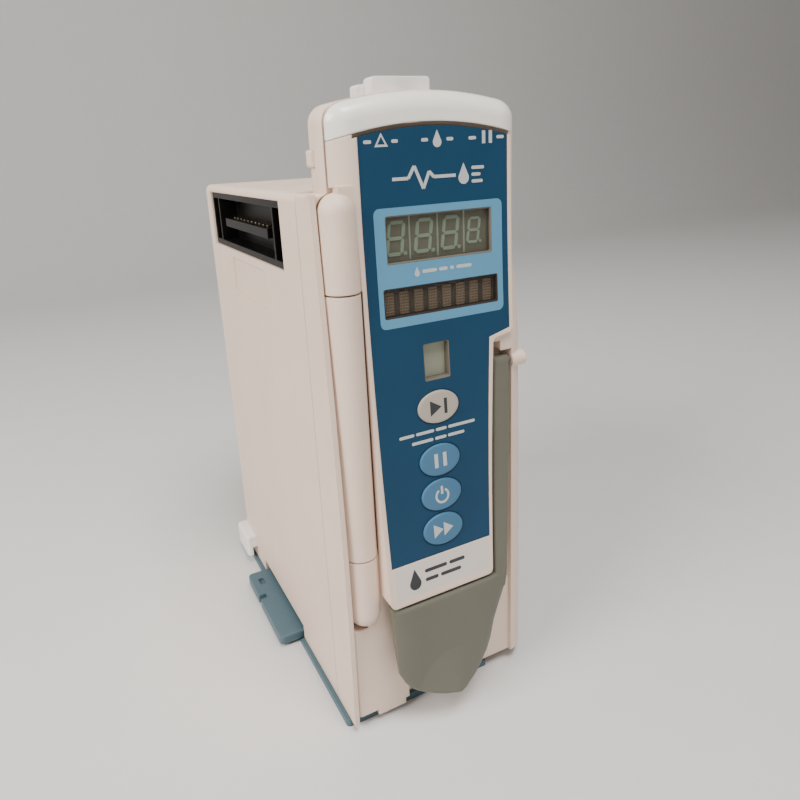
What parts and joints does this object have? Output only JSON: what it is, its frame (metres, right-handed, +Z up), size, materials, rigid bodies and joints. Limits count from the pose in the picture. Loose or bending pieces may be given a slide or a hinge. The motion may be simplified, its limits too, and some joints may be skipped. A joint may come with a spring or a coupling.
{
  "type": "infusion pump module",
  "caption": "Free-standing infusion pump module: hinged front door with keypad, displays and latch lever over a peristaltic drive, with docking connectors on both sides.",
  "frame": {"origin": "middle of the base plate's underside, where the module stands", "axes": "+Z up, +Y from the door to the rear, +X across the front, the hinge on the -X side"},
  "size_m": [0.09, 0.1574, 0.2264],
  "materials": {
    "body_plastic": "fine grain",
    "lens_plastic": "translucent white",
    "panel_film": "printed film",
    "select_key_plastic": "satin",
    "key_plastic": "satin",
    "lever_plastic": "satin",
    "base_plastic": "satin",
    "connector_plastic": "glossy",
    "contact_metal": "plated",
    "display_glass": "smoked",
    "segment_plastic": "diffuse",
    "cell_glass": "unlit",
    "module_plastic": "plain",
    "board_laminate": "solder mask",
    "led_lens": "clear",
    "steel": "brushed",
    "motor_metal": "cast",
    "mechanism_plastic": "plain",
    "foot_rubber": "plain"
  },
  "bodies": {
    "chassis": {"rear_case": "body_plastic", "case_screws": "steel", "front_housing": "body_plastic", "hinge_pin": "steel", "base_plate": "base_plastic", "base_feet": "foot_rubber", "release_springs": "steel", "spring_stop": "base_plastic", "locating_hook": "body_plastic", "connector_shell_left": "connector_plastic", "connector_contacts_left": "contact_metal", "connector_shell_right": "connector_plastic", "connector_contacts_right": "contact_metal", "latch_keeper": "steel", "mechanism_plate": "mechanism_plastic", "pump_fingers": "segment_plastic", "pressure_sensors": "steel", "air_detector": "module_plastic", "flow_regulator_seat": "base_plastic", "camshaft_bearings": "motor_metal", "motor": "motor_metal", "encoder_sensor": "module_plastic", "main_board": "board_laminate", "power_board": "board_laminate", "encoder_bracket": "steel", "speaker": "module_plastic", "upper_fitment_holder": "body_plastic"},
    "door": {"door_frame": "body_plastic", "status_lens": "lens_plastic", "keypad_membrane": "panel_film", "rate_window": "display_glass", "rate_digits": "segment_plastic", "rate_module": "module_plastic", "message_window": "display_glass", "message_cells": "cell_glass", "message_module": "module_plastic", "channel_window": "display_glass", "channel_module": "module_plastic", "display_board": "board_laminate", "key_switches": "steel", "status_leds": "led_lens", "door_back": "mechanism_plastic", "door_screws": "steel", "platen_springs": "steel", "lever_pin": "steel"},
    "platen": {"platen": "mechanism_plastic"},
    "lever": {"latch_lever": "lever_plastic"},
    "select": {"select_key": "select_key_plastic"},
    "pause": {"pause_key": "key_plastic"},
    "off": {"off_key": "key_plastic"},
    "restart": {"restart_key": "key_plastic"},
    "latch": {"release_latch": "base_plastic"},
    "camshaft": {"camshaft": "steel"}
  },
  "joints": [
    {"name": "door_hinge", "type": "hinge", "parent": "chassis", "child": "door", "pos_m": [-0.032, -0.0635, 0.1175], "axis": [0, 0, -1], "range_deg": [0, 90]},
    {"name": "lever_hinge", "type": "hinge", "parent": "door", "child": "lever", "pos_m": [0.0255, -0.0635, 0.1305], "axis": [-1, 0, 0], "range_deg": [0, 60]},
    {"name": "select_press", "type": "slide", "parent": "door", "child": "select", "axis": [0, 1, 0], "range_m": [0, 0.0006], "stiffness_N_per_m": 1500, "springref_m": -0.0002},
    {"name": "pause_press", "type": "slide", "parent": "door", "child": "pause", "axis": [0, 1, 0], "range_m": [0, 0.0006], "stiffness_N_per_m": 1500, "springref_m": -0.0002},
    {"name": "off_press", "type": "slide", "parent": "door", "child": "off", "axis": [0, 1, 0], "range_m": [0, 0.0006], "stiffness_N_per_m": 1500, "springref_m": -0.0002},
    {"name": "restart_press", "type": "slide", "parent": "door", "child": "restart", "axis": [0, 1, 0], "range_m": [0, 0.0006], "stiffness_N_per_m": 1500, "springref_m": -0.0002},
    {"name": "platen_float", "type": "slide", "parent": "door", "child": "platen", "axis": [0, -1, 0], "range_m": [0, 0.001], "stiffness_N_per_m": 2500, "springref_m": -0.0004},
    {"name": "latch_release", "type": "slide", "parent": "chassis", "child": "latch", "axis": [1, 0, 0], "range_m": [0, 0.004], "stiffness_N_per_m": 1200, "springref_m": -0.001},
    {"name": "cam_turn", "type": "hinge", "parent": "chassis", "child": "camshaft", "pos_m": [-0.001, -0.022, 0.098], "axis": [0, 0, 1], "continuous": true}
  ]
}
